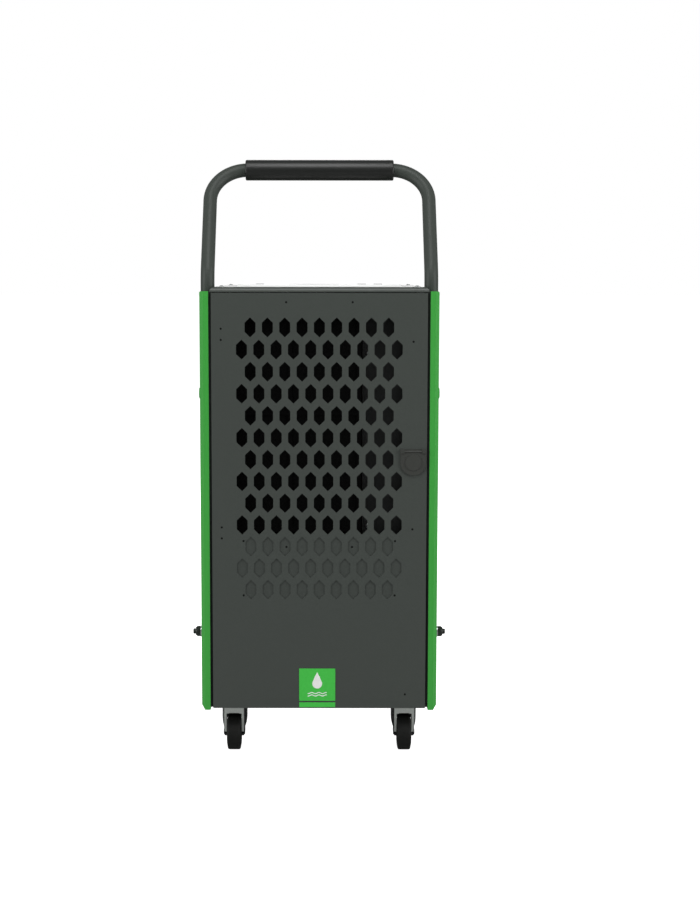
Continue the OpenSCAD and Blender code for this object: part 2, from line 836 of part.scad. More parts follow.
module lock_escutcheon() {
    plate = 1.6;
    color(graphite) placed() difference() {
        union() {
            wall_y(-plate, plate) u_outline(lock_r, lock_top_z);
            for (x = [lock_at[0] - lock_r, lock_at[0] + lock_r - ear_w])
                block([x, -front_proud, lock_top_z - ear_h], [x + ear_w, 0, lock_top_z]);
        }
        rod_y(9.8, -plate - 1, 1, lock_at[0], lock_at[1]);
        rod_x(1, lock_at[0] - lock_r - 1, lock_at[0] + lock_r + 1, lock_pin_at[0], lock_pin_at[1]);
    }
}

module lock_pin() {
    color("#c9cdd0") placed()
        rod_x(1, lock_at[0] - lock_r + 1, lock_at[0] + lock_r - 1, lock_pin_at[0], lock_pin_at[1]);
}

module lock_flap() {
    ear_low_z = lock_top_z - ear_h;
    knuckle_half = lock_r - ear_w - 0.3;
    color(graphite) placed() difference() {
        union() {
            wall_y(-3.4, 1.5) difference() {
                u_outline(lock_r - 0.3, ear_low_z - 0.4);
                translate([lock_at[0] - 30, ear_low_z - 0.4]) square([60, 20]);
            }
            block([lock_at[0] - knuckle_half, -3.4, ear_low_z - 2],
                [lock_at[0] + knuckle_half, -1.9, lock_pin_at[1]]);
            rod_x(1.6, lock_at[0] - knuckle_half, lock_at[0] + knuckle_half, lock_pin_at[0], lock_pin_at[1]);
            rod_y(14.5, -4.8, -3.3, lock_at[0], lock_at[1]);
        }
        rod_x(1.05, lock_at[0] - 20, lock_at[0] + 20, lock_pin_at[0], lock_pin_at[1]);
        rod_y(12, -3.6, -1, lock_at[0], lock_at[1]);
    }
}

module lock_cylinder() {
    color("#c9cdd0") placed() difference() {
        union() {
            rod_y(9.5, -2.6, -0.1, lock_at[0], lock_at[1]);
            rod_y(9, -1, 15, lock_at[0], lock_at[1]);
            rod_y(4, 14, 19, lock_at[0], lock_at[1]);
        }
        block([lock_at[0] - 1, -3, lock_at[1] - 4], [lock_at[0] + 1, 8, lock_at[1] + 4]);
    }
}

module lock_cam() {
    color(galvanised) placed() wall_y(15, 2.5) difference() {
        union() {
            translate(lock_at) circle(r = 7);
            translate([lock_at[0] - 6.5, lock_at[1] - 14]) square([13, 14]);
        }
        translate(lock_at) circle(r = 4);
    }
}

// ---------------------------------------------------------------- castors
function castor_centres() = [for (s = [-1, 1], y = [swivel_y, rear_axle_y]) [s * castor_x, y]];
function castor_screw_at() = [for (c = castor_centres(), i = [-1, 1], j = [-1, 1]) c + [22 * i, 22 * j]];

module castor_plate_form() {
    difference() {
        block([-30, -30, underside_z - 2.5], [30, 30, underside_z]);
        for (i = [-1, 1], j = [-1, 1]) rod_z(3.1, underside_z - 3, underside_z + 1, 22 * i, 22 * j);
    }
}

module castor_plates() {
    color(galvanised) placed() for (s = [-1, 1]) translate([s * castor_x, swivel_y, 0]) union() {
        castor_plate_form();
        rod_z(20, fork_top_z + 0.4, underside_z - 2.4, 0, 0);
        rod_z(kingpin_r, fork_top_z - 5.5, fork_top_z + 1, 0, 0);
        rod_z(8, fork_top_z - 6.5, fork_top_z - 3.3, 0, 0);
    }
}

module castor_screws() {
    color(galvanised) placed() for (at = castor_screw_at()) union() {
        rod_z(3, underside_z - 3, underside_z + 8, at[0], at[1]);
        rod_z(5, underside_z - 5.6, underside_z - 2.5, at[0], at[1]);
    }
}

// Swivel fork, drawn with its swivel axis at X 0, Y 0
module fork_form() {
    lip_y = -34;
    low_z = wheel_r - 7.5;
    race_r = 23.6;
    difference() {
        union() {
            intersection() {
                union() {
                    for (x = [-fork_out, fork_gap]) block([x, lip_y, low_z], [x + fork_wall, 0, fork_top_z]);
                    difference() {
                        rod_z(race_r, low_z, fork_top_z, 0, 0);
                        rod_z(race_r - fork_wall, low_z - 1, fork_top_z + 1, 0, 0);
                        block([-fork_gap, -30, low_z - 1], [fork_gap, 12, fork_top_z - 3]);
                    }
                }
                wall_x(-race_r - 1, 2 * race_r + 2) polygon([[lip_y, fork_top_z], [lip_y, 60],
                    [-trail - 8, wheel_r], [-trail - 6, low_z + 1.5], [-trail, low_z],
                    [-trail + 6, low_z + 1.5], [-trail + 8.5, wheel_r], [-trail + 8.5, 41], [0, 60],
                    [16, 50], [race_r, 50], [race_r, fork_top_z]]);
            }
            block([-fork_out, lip_y, fork_top_z - 3], [fork_out, 0, fork_top_z]);
            rod_z(race_r, fork_top_z - 3, fork_top_z, 0, 0);
            difference() {
                block([-fork_out, lip_y, fork_top_z - 12], [fork_out, lip_y + fork_wall, fork_top_z]);
                block([4 - fork_gap, lip_y - 1, fork_top_z - 20], [fork_gap - 4, lip_y + 5, fork_top_z - 11]);
            }
        }
        rod_z(kingpin_r + fit, fork_top_z - 4, fork_top_z + 1, 0, 0);
        rod_x(axle_r, -fork_out - 1, fork_out + 1, -trail, wheel_r);
        block([-fork_out - 1, lip_y, wheel_r - 2.2], [fork_out + 1, -trail, wheel_r + 2.2]);
    }
}

module castor_fork_left() {
    color("#9aa09a") placed() translate([-castor_x, swivel_y, 0]) fork_form();
}

module castor_fork_right() {
    color("#9aa09a") placed() translate([castor_x, swivel_y, 0]) fork_form();
}

module axle_form(x, y) {
    rod_x(axle_r, x - fork_out - 0.1, x + fork_out + 0.1, y, wheel_r);
    for (s = [-1, 1]) rod_x(5.2, x + s * (fork_out + 0.8) - 0.8, x + s * (fork_out + 0.8) + 0.8, y, wheel_r);
}

module castor_axle_left() {
    color(near_black) placed() union() axle_form(-castor_x, axle_y);
}

module castor_axle_right() {
    color(near_black) placed() union() axle_form(castor_x, axle_y);
}

// Tyre and hub in one section, turned about the axle
module wheel_form(x, y) {
    half = wheel_w / 2;
    shoulder = 3.4;
    steps = 4;
    arc = [for (i = [0 : steps]) [wheel_r - shoulder + shoulder * sin(90 * i / steps),
        half - 1.2 - shoulder + shoulder * cos(90 * i / steps)]];
    hub = [[axle_r + fit, hub_half], [9, hub_half], [9.8, half - 3.5], [22, half - 3.5], [23, half]];
    side = concat(hub, arc);
    other = [for (i = [len(side) - 1 : -1 : 0]) [side[i][0], -side[i][1]]];
    translate([x, y, wheel_r]) rotate([0, 90, 0]) rotate_extrude($fn = 96) polygon(concat(side, other));
}

module castor_wheel_left() {
    color(near_black) placed() wheel_form(-castor_x, axle_y);
}

module castor_wheel_right() {
    color(near_black) placed() wheel_form(castor_x, axle_y);
}

module rear_wheel_left() {
    color(near_black) placed() wheel_form(-castor_x, rear_axle_y);
}

module rear_wheel_right() {
    color(near_black) placed() wheel_form(castor_x, rear_axle_y);
}

module rear_castor_forks() {
    low_z = wheel_r - 7.5;
    color("#9aa09a") placed() for (s = [-1, 1]) translate([s * castor_x, rear_axle_y, 0]) difference() {
        union() {
            castor_plate_form();
            for (x = [-fork_out, fork_gap]) wall_x(x, fork_wall)
                polygon([[-16, underside_z - 1], [16, underside_z - 1], [16, 68], [8, wheel_r],
                    [6, low_z + 1.5], [0, low_z], [-6, low_z + 1.5], [-8, wheel_r], [-16, 68]]);
        }
        rod_x(axle_r, -fork_out - 1, fork_out + 1, 0, wheel_r);
    }
}

module rear_axles() {
    color(near_black) placed() for (s = [-1, 1]) union() axle_form(s * castor_x, rear_axle_y);
}

// ---------------------------------------------------------------- assembly
base_tray();
inner_sides();
mid_deck();
divider();
rear_panel();
side_cover_left();
side_cover_right();
lid();
handle_tube();
grip();
handle_bolts();
handle_upper_screws();
handle_washers();
handle_nuts();
control_fascia();
display_window();
key_power();
key_plus();
key_minus();
air_filter();
evaporator();
condenser();
fan_shroud();
fan_motor();
fan_shaft();
impeller();
compressor();
compressor_mounts();
refrigerant_pipes();
drip_tray();
drain_hose();
drain_spigot();
electrics_cover();
panel_screws();
control_board();
cable_gland();
frame_hinge_leaves();
hinge_pins();
front_door();
door_hinge_leaves();
blanking_plate();
door_rivets();
badge();
lock_escutcheon();
lock_pin();
lock_flap();
lock_cylinder();
lock_cam();
castor_plates();
castor_screws();
castor_fork_left();
castor_fork_right();
castor_axle_left();
castor_axle_right();
castor_wheel_left();
castor_wheel_right();
rear_castor_forks();
rear_axles();
rear_wheel_left();
rear_wheel_right();
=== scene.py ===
import json
from math import acos, cos, pi, radians, sin

import bmesh
import bpy
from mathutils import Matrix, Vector


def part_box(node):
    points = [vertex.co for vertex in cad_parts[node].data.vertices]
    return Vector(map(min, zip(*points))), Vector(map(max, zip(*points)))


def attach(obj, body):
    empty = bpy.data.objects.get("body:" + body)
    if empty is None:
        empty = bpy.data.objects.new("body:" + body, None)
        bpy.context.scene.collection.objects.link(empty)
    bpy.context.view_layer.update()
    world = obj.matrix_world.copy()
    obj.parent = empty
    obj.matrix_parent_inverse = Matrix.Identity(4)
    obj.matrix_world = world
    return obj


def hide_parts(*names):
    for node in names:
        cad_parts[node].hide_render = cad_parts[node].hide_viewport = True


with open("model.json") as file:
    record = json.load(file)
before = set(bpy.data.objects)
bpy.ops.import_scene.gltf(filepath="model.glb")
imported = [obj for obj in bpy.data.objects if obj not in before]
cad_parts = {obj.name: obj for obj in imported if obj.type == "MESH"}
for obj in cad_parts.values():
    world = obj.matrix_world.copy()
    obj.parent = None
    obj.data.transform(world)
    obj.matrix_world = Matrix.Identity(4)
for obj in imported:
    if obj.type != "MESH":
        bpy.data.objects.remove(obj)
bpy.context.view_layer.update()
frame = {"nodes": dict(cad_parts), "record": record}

# ---------------------------------------------------------------- chassis
# The chassis is hot-dip galvanised steel sheet, 1.2 to 1.5 mm thick: a folded floor pan, two
# inner sides with flanges, the deck under the coils and the plate round the fan. Folds and sheared
# edges are slightly round, and the zinc shows its pale, uneven crystals.
MM = 0.001


def tone(code):
    """The linear colour, with alpha, of an sRGB hex value."""
    parts = [int(code[i : i + 2], 16) / 255 for i in (1, 3, 5)]
    return [p / 12.92 if p <= 0.04045 else ((p + 0.055) / 1.055) ** 2.4 for p in parts] + [1]


def add(tree, kind, settings=(), inputs=()):
    """One shader node with its settings; an input gets a value, or a link from another node's socket."""
    node = tree.nodes.new("ShaderNode" + kind)
    for name, value in dict(settings).items():
        setattr(node, name, value)
    for name, value in dict(inputs).items():
        if isinstance(value, bpy.types.NodeSocket):
            tree.links.new(value, node.inputs[name])
        else:
            node.inputs[name].default_value = value
    return node


def coat(name, colour, metallic, roughness, **more):
    """A material with constant surface values, its tree, its shader and the socket of object coordinates."""
    material = bpy.data.materials.new(name)
    material.use_nodes = True
    tree = material.node_tree
    shader = tree.nodes["Principled BSDF"]
    values = {"Base Color": tone(colour), "Metallic": metallic, "Roughness": roughness}
    for socket, value in {**values, **{k.replace("_", " "): v for k, v in more.items()}}.items():
        shader.inputs[socket].default_value = value
    place = add(tree, "TexCoord").outputs["Object"]
    return material, tree, shader, place


def grain(tree, shader, place, size_mm, depth_mm, colours=None, rough=None, detail=3.0):
    """A fine uneven surface: lumps size_mm wide and depth_mm deep, which colour and roughness follow."""
    noise = add(tree, "TexNoise", inputs={"Vector": place, "Scale": 1 / (size_mm * MM),
                                          "Detail": detail, "Roughness": 0.55})
    bump = add(tree, "Bump", inputs={"Strength": 1.0, "Distance": depth_mm * MM,
                                     "Height": noise.outputs["Fac"]})
    tree.links.new(bump.outputs["Normal"], shader.inputs["Normal"])
    if colours:
        ramp = add(tree, "ValToRGB", inputs={"Fac": noise.outputs["Fac"]})
        ramp.color_ramp.elements[0].position, ramp.color_ramp.elements[1].position = 0.35, 0.65
        for element, colour in zip(ramp.color_ramp.elements, colours):
            element.color = tone(colour)
        tree.links.new(ramp.outputs["Color"], shader.inputs["Base Color"])
    if rough:
        spread = add(tree, "MapRange", inputs={"Value": noise.outputs["Fac"], "From Min": 0.3,
                                               "From Max": 0.7, "To Min": rough[0], "To Max": rough[1]})
        tree.links.new(spread.outputs["Result"], shader.inputs["Roughness"])


def piece(name, mesh, materials, body, node=None):
    """Puts a finished mesh in the scene on a body, and hides the CAD node it stands for."""
    obj = bpy.data.objects.new(name, mesh)
    bpy.context.scene.collection.objects.link(obj)
    for material in materials:
        mesh.materials.append(material)
    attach(obj, body)
    if node:
        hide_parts(node)
    return obj


def smooth(work, limit=32):
    """Shades a mesh smooth, apart from edges sharper than limit degrees."""
    work.normal_update()
    for face in work.faces:
        face.smooth = True
    for edge in work.edges:
        edge.smooth = edge.is_manifold and edge.calc_face_angle(0) < radians(limit)


def as_mesh(name, work):
    """Turns a finished working shape into a mesh."""
    mesh = bpy.data.meshes.new(name)
    work.to_mesh(mesh)
    work.free()
    return mesh


NODE_BODY = {n: body for body, nodes in frame["record"]["behaviour"]["bodies"].items() for n in nodes}


def rounded(node, edge_mm, *materials, pick=None, segments=2, fold=35):
    """A CAD node's shape with its edges rounded by edge_mm; pick(face) chooses each face's material."""
    work = bmesh.new()
    work.from_mesh(frame["nodes"][node].data)
    bmesh.ops.remove_doubles(work, verts=work.verts, dist=2e-6)
    bmesh.ops.dissolve_limit(work, angle_limit=radians(0.5), verts=work.verts, edges=work.edges)
    if edge_mm:
        sharp = [e for e in work.edges if e.is_manifold and e.calc_face_angle(0) > radians(fold)]
        bmesh.ops.bevel(work, geom=sharp, offset=edge_mm * MM, segments=segments, profile=0.6,
                        affect="EDGES", clamp_overlap=True, loop_slide=True)
    smooth(work)
    if pick:
        for face in work.faces:
            face.material_index = pick(face)
    mesh = as_mesh(node + "_finished", work)
    obj = piece(node + "_finished", mesh, materials, NODE_BODY[node], node)
    weigh = obj.modifiers.new("flat faces stay flat", "WEIGHTED_NORMAL")
    weigh.keep_sharp = True
    return obj


# Hot-dip zinc on steel: dull grey metal, whose crystals are about 9 mm across.
zinc, tree, shader, place = coat("galvanised_sheet", "#a9aeb0", 1.0, 0.42)
crystals = add(tree, "TexVoronoi", {"feature": "F1"}, {"Vector": place, "Scale": 1 / (9 * MM),
                                                       "Randomness": 1.0})
shade = add(tree, "ValToRGB", inputs={"Fac": crystals.outputs["Color"]})
for element, colour in zip(shade.color_ramp.elements, ("#8f9496", "#bcc1c3")):
    element.color = tone(colour)
spread = add(tree, "MapRange", inputs={"Value": crystals.outputs["Color"], "To Min": 0.32, "To Max": 0.5})
tree.links.new(shade.outputs["Color"], shader.inputs["Base Color"])
tree.links.new(spread.outputs["Result"], shader.inputs["Roughness"])
for node in ("base_tray", "inner_sides", "mid_deck", "fan_shroud"):
    rounded(node, 0.35, zinc)

# ---------------------------------------------------------------- cabinet outside
# Door, lid, rear wall and handle have a graphite polyester powder coat, baked on. It flows into
# a low orange peel with lumps of 1 to 2 mm, drawn 3 mm wide so that they show.
GRAPHITE = "#3b403c"


def powder_coat(name, colour, other, roughness, gloss=0.5):
    """Baked powder in two close colours; gloss is how strongly it mirrors."""
    coating, tree, shader, place = coat(name, colour, 0.0, roughness, IOR=1.5, Specular_IOR_Level=gloss)
    grain(tree, shader, place, 3.0, 0.004, (colour, other), (roughness - 0.03, roughness + 0.03), 2.0)
    return coating


graphite_coat = powder_coat("graphite_powder_coat", GRAPHITE, "#3d423e", 0.40)
for node in ("rear_panel", "lid"):
    rounded(node, 0.45, graphite_coat, segments=3)

# The two side covers are folded from 1.2 mm steel sheet and powder coated leaf green, with a
# 6.5 mm bevel down the front. They hook over the inner sides and the handle's bolts hold them.
green_coat = powder_coat("leaf_green_powder_coat", "#3a9b3c", "#3c9d3e", 0.42, 0.34)
for node in ("side_cover_left", "side_cover_right"):
    rounded(node, 0.4, green_coat, segments=3)

# ---------------------------------------------------------------- handle
# One length of 25 mm steel tube with 1.5 mm wall, bent cold: straight up out of the covers, back
# at the knees and round two corners into the crossbar. It is powder coated like the cabinet.
front_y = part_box("front_door")[0].y


def at(x, y, z):
    """A point from distances in mm: right of the middle, behind the door's face, above the floor."""
    return Vector((x * MM, front_y + y * MM, z * MM))


LEG_X, LEG_Y, BEND_Z = 201, 24, 882
LEAN_SIN, LEAN_COS = 0.5376, 0.8432
KNEE_R, KNEE, CORNER_R, LEAN_LENGTH = 60, 17.5, 68, 228
TUBE_R, TUBE_WALL, FOOT_Z = 12.5, 1.5, 98


def leaned(x, along):
    """A point of the leaning part, by its distance along the lean."""
    return at(x, LEG_Y + along * LEAN_SIN, BEND_Z + along * LEAN_COS)


def handle_line():
    """The tube's centre line from the left foot to the right one, with close points in the bends."""
    left = [at(-LEG_X, LEG_Y, z) for z in (FOOT_Z, 420, 640, BEND_Z - KNEE - 1)]
    lean = acos(LEAN_COS)
    for i in range(13):
        turn = lean * i / 12
        left.append(at(-LEG_X, LEG_Y + KNEE_R * (1 - cos(turn)), BEND_Z - KNEE + KNEE_R * sin(turn)))
    for i in range(33):
        turn = pi / 2 * i / 32
        left.append(leaned(-(LEG_X - CORNER_R) - CORNER_R * cos(turn),
                           LEAN_LENGTH - CORNER_R + CORNER_R * sin(turn)))
    return left + [Vector((-p.x, p.y, p.z)) for p in reversed(left)]


def swept(name, line, radii, around):
    """A tube along a line, with its skin at the first radius and its bore at the second."""
    work = bmesh.new()
    skins = []
    for radius in radii:
        side = Vector((0, 1, 0))
        rings = []
        for i, point in enumerate(line):
            before, after = line[max(i - 1, 0)], line[min(i + 1, len(line) - 1)]
            along = ((point - before).normalized() + (after - point).normalized()).normalized()
            side = (side - along * side.dot(along)).normalized()
            across = along.cross(side)
            rings.append([work.verts.new(point + (side * cos(a) + across * sin(a)) * radius * MM)
                          for a in (2 * pi * k / around for k in range(around))])
        for low, high in zip(rings, rings[1:]):
            for k in range(around):
                n = (k + 1) % around
                work.faces.new((low[k], low[n], high[n], high[k]))
        skins.append(rings)
    for end in (0, -1):
        for k in range(around):
            n = (k + 1) % around
            work.faces.new((skins[0][end][k], skins[0][end][n], skins[1][end][n], skins[1][end][k]))
    bmesh.ops.recalc_face_normals(work, faces=work.faces)
    smooth(work)
    return as_mesh(name, work)


handle_coat = powder_coat("handle_powder_coat", "#3c413d", "#3e433f", 0.42, 0.18)
piece("bent_handle_tube", swept("bent_handle_tube", handle_line(), (TUBE_R, TUBE_R - TUBE_WALL), 64),
      [handle_coat], "cabinet", "handle_tube")

# The grip is a sleeve of closed-cell foam rubber, 38 mm across, pushed over the crossbar. Its
# closed skin is satin with a faint grain of 2 mm, and its cut ends are rounded.


def turned(name, outline, centre, axis, around):
    """A mesh turned about an axis; outline holds (distance along the axis, radius) in mm, and is closed."""
    axis = Vector(axis).normalized()
    side = axis.orthogonal().normalized()
    across = axis.cross(side)
    work = bmesh.new()
    rings = []
    for along, radius in outline:
        middle = centre + axis * along * MM
        rings.append([work.verts.new(middle + (side * cos(a) + across * sin(a)) * radius * MM)
                      for a in (2 * pi * k / around for k in range(around))])
    for low, high in zip(rings, rings[1:] + rings[:1]):
        for k in range(around):
            n = (k + 1) % around
            work.faces.new((low[k], low[n], high[n], high[k]))
    bmesh.ops.remove_doubles(work, verts=work.verts, dist=1e-7)
    bmesh.ops.recalc_face_normals(work, faces=work.faces)
    smooth(work)
    return as_mesh(name, work)


def broken_end(half, radius, edge, steps=5):
    """The quarter round at the end of a sleeve, from its end face to its skin."""
    return [(half - edge + edge * cos(pi / 2 * i / steps), radius - edge + edge * sin(pi / 2 * i / steps))
            for i in range(steps + 1)]


foam, tree, shader, place = coat("foam_rubber", "#101210", 0.0, 0.38, IOR=1.5)
grain(tree, shader, place, 2.0, 0.02, ("#0f110f", "#131513"), (0.34, 0.42), 4.0)
GRIP_HALF, GRIP_R, GRIP_BORE_R = 137.25, 19, 13.2
end = broken_end(GRIP_HALF, GRIP_R, 2.4)
outline = [(GRIP_HALF, GRIP_BORE_R)] + end + [(-x, r) for x, r in reversed(end)] + [(-GRIP_HALF, GRIP_BORE_R)]
piece("foam_grip", turned("foam_grip", outline, leaned(0, LEAN_LENGTH), (1, 0, 0), 72), [foam],
      "cabinet", "grip")

# A block moulded in black polyamide sits under each foot of the tube and closes the gap beside
# the door. It is a flat shape, seen from the front, 10 mm thick.
black_pa, tree, shader, place = coat("moulded_black_polyamide", "#212321", 0.0, 0.5, IOR=1.53)
grain(tree, shader, place, 0.9, 0.015, ("#1d1f1d", "#252725"), (0.44, 0.56))
FOOT_BLOCK = [(189.3, FOOT_Z), (189.3, 88.6), (203, 88.6), (208, 93), (208, FOOT_Z)]
BLOCK_FRONT_Y = 19
feet = [FOOT_BLOCK, [(-u, v) for u, v in FOOT_BLOCK]]


def flat_shapes(name, shapes, thick_mm, place_at):
    """One mesh of flat shapes, lists of (u, v) in mm; place_at(u, v, height) gives each point."""
    work = bmesh.new()
    for shape in shapes:
        low = [work.verts.new(place_at(u, v, 0)) for u, v in shape]
        high = [work.verts.new(place_at(u, v, thick_mm)) for u, v in shape]
        work.faces.new(low)
        work.faces.new(high)
        for i in range(len(shape)):
            n = (i + 1) % len(shape)
            work.faces.new((low[i], low[n], high[n], high[i]))
    bmesh.ops.recalc_face_normals(work, faces=work.faces)
    smooth(work)
    return as_mesh(name, work)


mesh = flat_shapes("tube_foot_blocks", feet, 10, lambda u, v, h: at(u, BLOCK_FRONT_Y + h, v))
piece("tube_foot_blocks", mesh, [black_pa], "cabinet")

# Each leg is held by an M10 bolt from inside, with a zinc plated washer and a black nut outside,
# and higher up by a low dome screw painted with the cover.
plated, tree, shader, place = coat("zinc_plated_steel", "#c3c7c6", 1.0, 0.3)
grain(tree, shader, place, 0.9, 0.004, ("#b7bbba", "#ced2d1"), (0.24, 0.38))
blackened, tree, shader, place = coat("blackened_steel", "#3a3d3b", 0.85, 0.38)
grain(tree, shader, place, 1.2, 0.006, ("#2c2f2d", "#444845"), (0.32, 0.46))
rounded("handle_washers", 0.3, plated)
rounded("handle_nuts", 0.4, blackened)
rounded("handle_bolts", 0.25, blackened)
rounded("handle_upper_screws", 0.3, green_coat)

# ---------------------------------------------------------------- controls
# The control panel is a moulded ABS frame with sloping sides on the lid. It holds a smoked
# acrylic window over the display, and three press keys with raised marks.
white_abs, tree, shader, place = coat("moulded_white_abs", "#e8eae8", 0.0, 0.34, IOR=1.53)
grain(tree, shader, place, 1.1, 0.008, ("#e6e8e6", "#eaebea"), (0.3, 0.4))
grey_abs, tree, shader, place = coat("moulded_grey_abs", "#5b605d", 0.0, 0.4, IOR=1.53)
grain(tree, shader, place, 1.0, 0.01, ("#565b58", "#606562"), (0.36, 0.46))
smoked, tree, shader, place = coat("smoked_acrylic", "#0b0d0d", 0.0, 0.07, IOR=1.49,
                                   Coat_Weight=0.4, Coat_Roughness=0.05)
grain(tree, shader, place, 30, 0.004, ("#0a0c0c", "#0d0f0f"), (0.05, 0.09), 1.0)
rounded("control_fascia", 0.8, white_abs, segments=3)
rounded("display_window", 0.3, smoked)
KEYS = {"key_power": "power_key", "key_plus": "plus_key", "key_minus": "minus_key"}
for node in KEYS:
    rounded(node, 0.7, grey_abs, segments=3)


def bar(u, v, width, height):
    """A rectangle about (u, v)."""
    return [(u + a * width / 2, v + b * height / 2) for a, b in ((-1, -1), (1, -1), (1, 1), (-1, 1))]


def arc_band(u, v, inner, outer, start, sweep, steps=14):
    """Four-cornered patches that make up a band of a ring."""
    patches = []
    for i in range(steps):
        a, b = (radians(start + sweep * k / steps) for k in (i, i + 1))
        patches.append([(u + r * cos(t), v + r * sin(t))
                        for r, t in ((inner, a), (outer, a), (outer, b), (inner, b))])
    return patches


MARKS = {
    "key_plus": [bar(0, 0, 7, 1.4), bar(0, 2.1, 1.4, 2.8), bar(0, -2.1, 1.4, 2.8)],
    "key_minus": [bar(0, 0, 7, 1.4)],
    "key_power": arc_band(0, -0.4, 2.7, 3.9, 125, 290) + [bar(0, 2.3, 1.3, 4.2)],
}
MARK_SUNK = 0.05
pad_print, tree, shader, place = coat("pad_printed_white", "#eef0ee", 0.0, 0.5)
grain(tree, shader, place, 0.8, 0.004, ("#e8eae8", "#f3f4f2"))
for node, shapes in MARKS.items():
    low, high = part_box(node)
    middle = (low + high) / 2
    mesh = flat_shapes(node + "_mark", shapes, 0.15,
                       lambda u, v, h: Vector((middle.x + u * MM, middle.y + v * MM,
                                               high.z + (h - MARK_SUNK) * MM)))
    piece(node + "_mark", mesh, [pad_print], KEYS[node])

# Behind the window sit two unlit seven-segment digits; their pale segments just show.
segment_grey, tree, shader, place = coat("unlit_led_segment", "#2b302e", 0.0, 0.3)
grain(tree, shader, place, 1.0, 0.003, ("#282d2b", "#2f3432"))
window_low, window_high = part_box("display_window")
window_mid = (window_low + window_high) / 2
SEGMENT, SEGMENT_W = 7.6, 1.6
digits = []
for u in (-9, 9):
    digits += [bar(u, v, SEGMENT, SEGMENT_W) for v in (10, 0, -10)]
    digits += [bar(u + du, v, SEGMENT_W, SEGMENT) for v in (5, -5) for du in (-5, 5)]
mesh = flat_shapes("display_digits", digits, 0.08,
                   lambda u, v, h: Vector((window_mid.x + u * MM, window_mid.y + v * MM,
                                           window_high.z + (h - 0.04) * MM)))
piece("display_digits", mesh, [segment_grey], "cabinet")

# ---------------------------------------------------------------- air path
# Air comes in through the door and a washable filter: reticulated foam with open cells, drawn
# 3 mm wide, in a moulded frame. The foam is painted darker towards the middle of each cell, as
# shade in the pores.
filter_foam, tree, shader, place = coat("reticulated_foam", "#0b0b0b", 0.0, 0.9, Specular_IOR_Level=0.1)
cells = add(tree, "TexVoronoi", {"feature": "DISTANCE_TO_EDGE"}, {"Vector": place, "Scale": 1 / (3 * MM)})
# Painted shade: each cell's sunken middle is darker than its struts.
pore_painted_shade = add(tree, "ValToRGB", inputs={"Fac": cells.outputs["Distance"]})
for element, colour in zip(pore_painted_shade.color_ramp.elements, ("#0a0b0a", "#040404")):
    element.color = tone(colour)
pore_painted_shade.color_ramp.elements[1].position = 0.3
bump = add(tree, "Bump", {"invert": True}, {"Strength": 1.0, "Distance": 0.8 * MM,
                                            "Height": cells.outputs["Distance"]})
tree.links.new(pore_painted_shade.outputs["Color"], shader.inputs["Base Color"])
tree.links.new(bump.outputs["Normal"], shader.inputs["Normal"])
filter_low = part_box("air_filter")[0]
frame_pp, tree, shader, place = coat("moulded_filter_frame", "#050505", 0.0, 0.8, Specular_IOR_Level=0.1)
grain(tree, shader, place, 1.0, 0.01, ("#040404", "#060606"))
rounded("air_filter", 0.4, frame_pp, filter_foam,
        pick=lambda face: int(face.normal.y < -0.9 and face.calc_center_median().y > filter_low.y + 1 * MM))

# Both coils are copper tube expanded into stacks of aluminium fins. The fins stand 1.8 mm apart,
# drawn 3.6 mm apart so that they show: pale stripes for the fins, with painted shade in the dark
# gaps between them; end plates are plain aluminium, return bends copper.
fins, tree, shader, place = coat("aluminium_fins", "#9da2a4", 1.0, 0.4)
# Painted shade: the dark bands of this wave are the gaps between the fins.
fin_stripes_gap_shade = add(tree, "TexWave", {"bands_direction": "X"}, {"Vector": place, "Scale": 0.314 / (3.6 * MM),
                                                       "Distortion": 0.6, "Detail": 1.0})
shade = add(tree, "ValToRGB", inputs={"Fac": fin_stripes_gap_shade.outputs["Fac"]})
for element, colour in zip(shade.color_ramp.elements, ("#2a2c2d", "#b4b9bb")):
    element.color = tone(colour)
bump = add(tree, "Bump", inputs={"Strength": 1.0, "Distance": 1.2 * MM, "Height": fin_stripes_gap_shade.outputs["Fac"]})
tree.links.new(shade.outputs["Color"], shader.inputs["Base Color"])
tree.links.new(bump.outputs["Normal"], shader.inputs["Normal"])
mill_aluminium, tree, shader, place = coat("mill_finish_aluminium", "#b2b6b7", 1.0, 0.36)
grain(tree, shader, place, 4, 0.01, ("#a8acae", "#bbbfc0"), (0.3, 0.44))
copper, tree, shader, place = coat("drawn_copper", "#b87350", 1.0, 0.32)
grain(tree, shader, place, 14, 0.004, ("#9a5b3f", "#c27c57"), (0.26, 0.42), 5.0)


FINS_LOW_X, FINS_HIGH_X = -168 * MM, 61.9 * MM
COIL_MIDDLE_X, PLATES_HALF = -53 * MM, 116.4 * MM


def coil_part(face):
    """Fins between the end plates, plates at their planes, copper outside them."""
    x = face.calc_center_median().x
    if FINS_LOW_X < x < FINS_HIGH_X:
        return 0
    return 1 if abs(x - COIL_MIDDLE_X) < PLATES_HALF else 2


for node in ("evaporator", "condenser"):
    rounded(node, 0, fins, mill_aluminium, copper, pick=coil_part)

# A shaded-pole motor in a black can stands on three flat arms behind the shroud. Its plated
# shaft carries the axial fan, moulded in glass-filled polypropylene.
black_enamel, tree, shader, place = coat("black_enamel", "#1c1e1d", 0.0, 0.28, IOR=1.5,
                                         Coat_Weight=0.3, Coat_Roughness=0.2)
grain(tree, shader, place, 5, 0.03, ("#181a19", "#202221"), (0.24, 0.34), 2.0)
rounded("fan_motor", 0.5, black_enamel)
rounded("fan_shaft", 0.2, plated)
rounded("impeller", 0.4, black_pa)

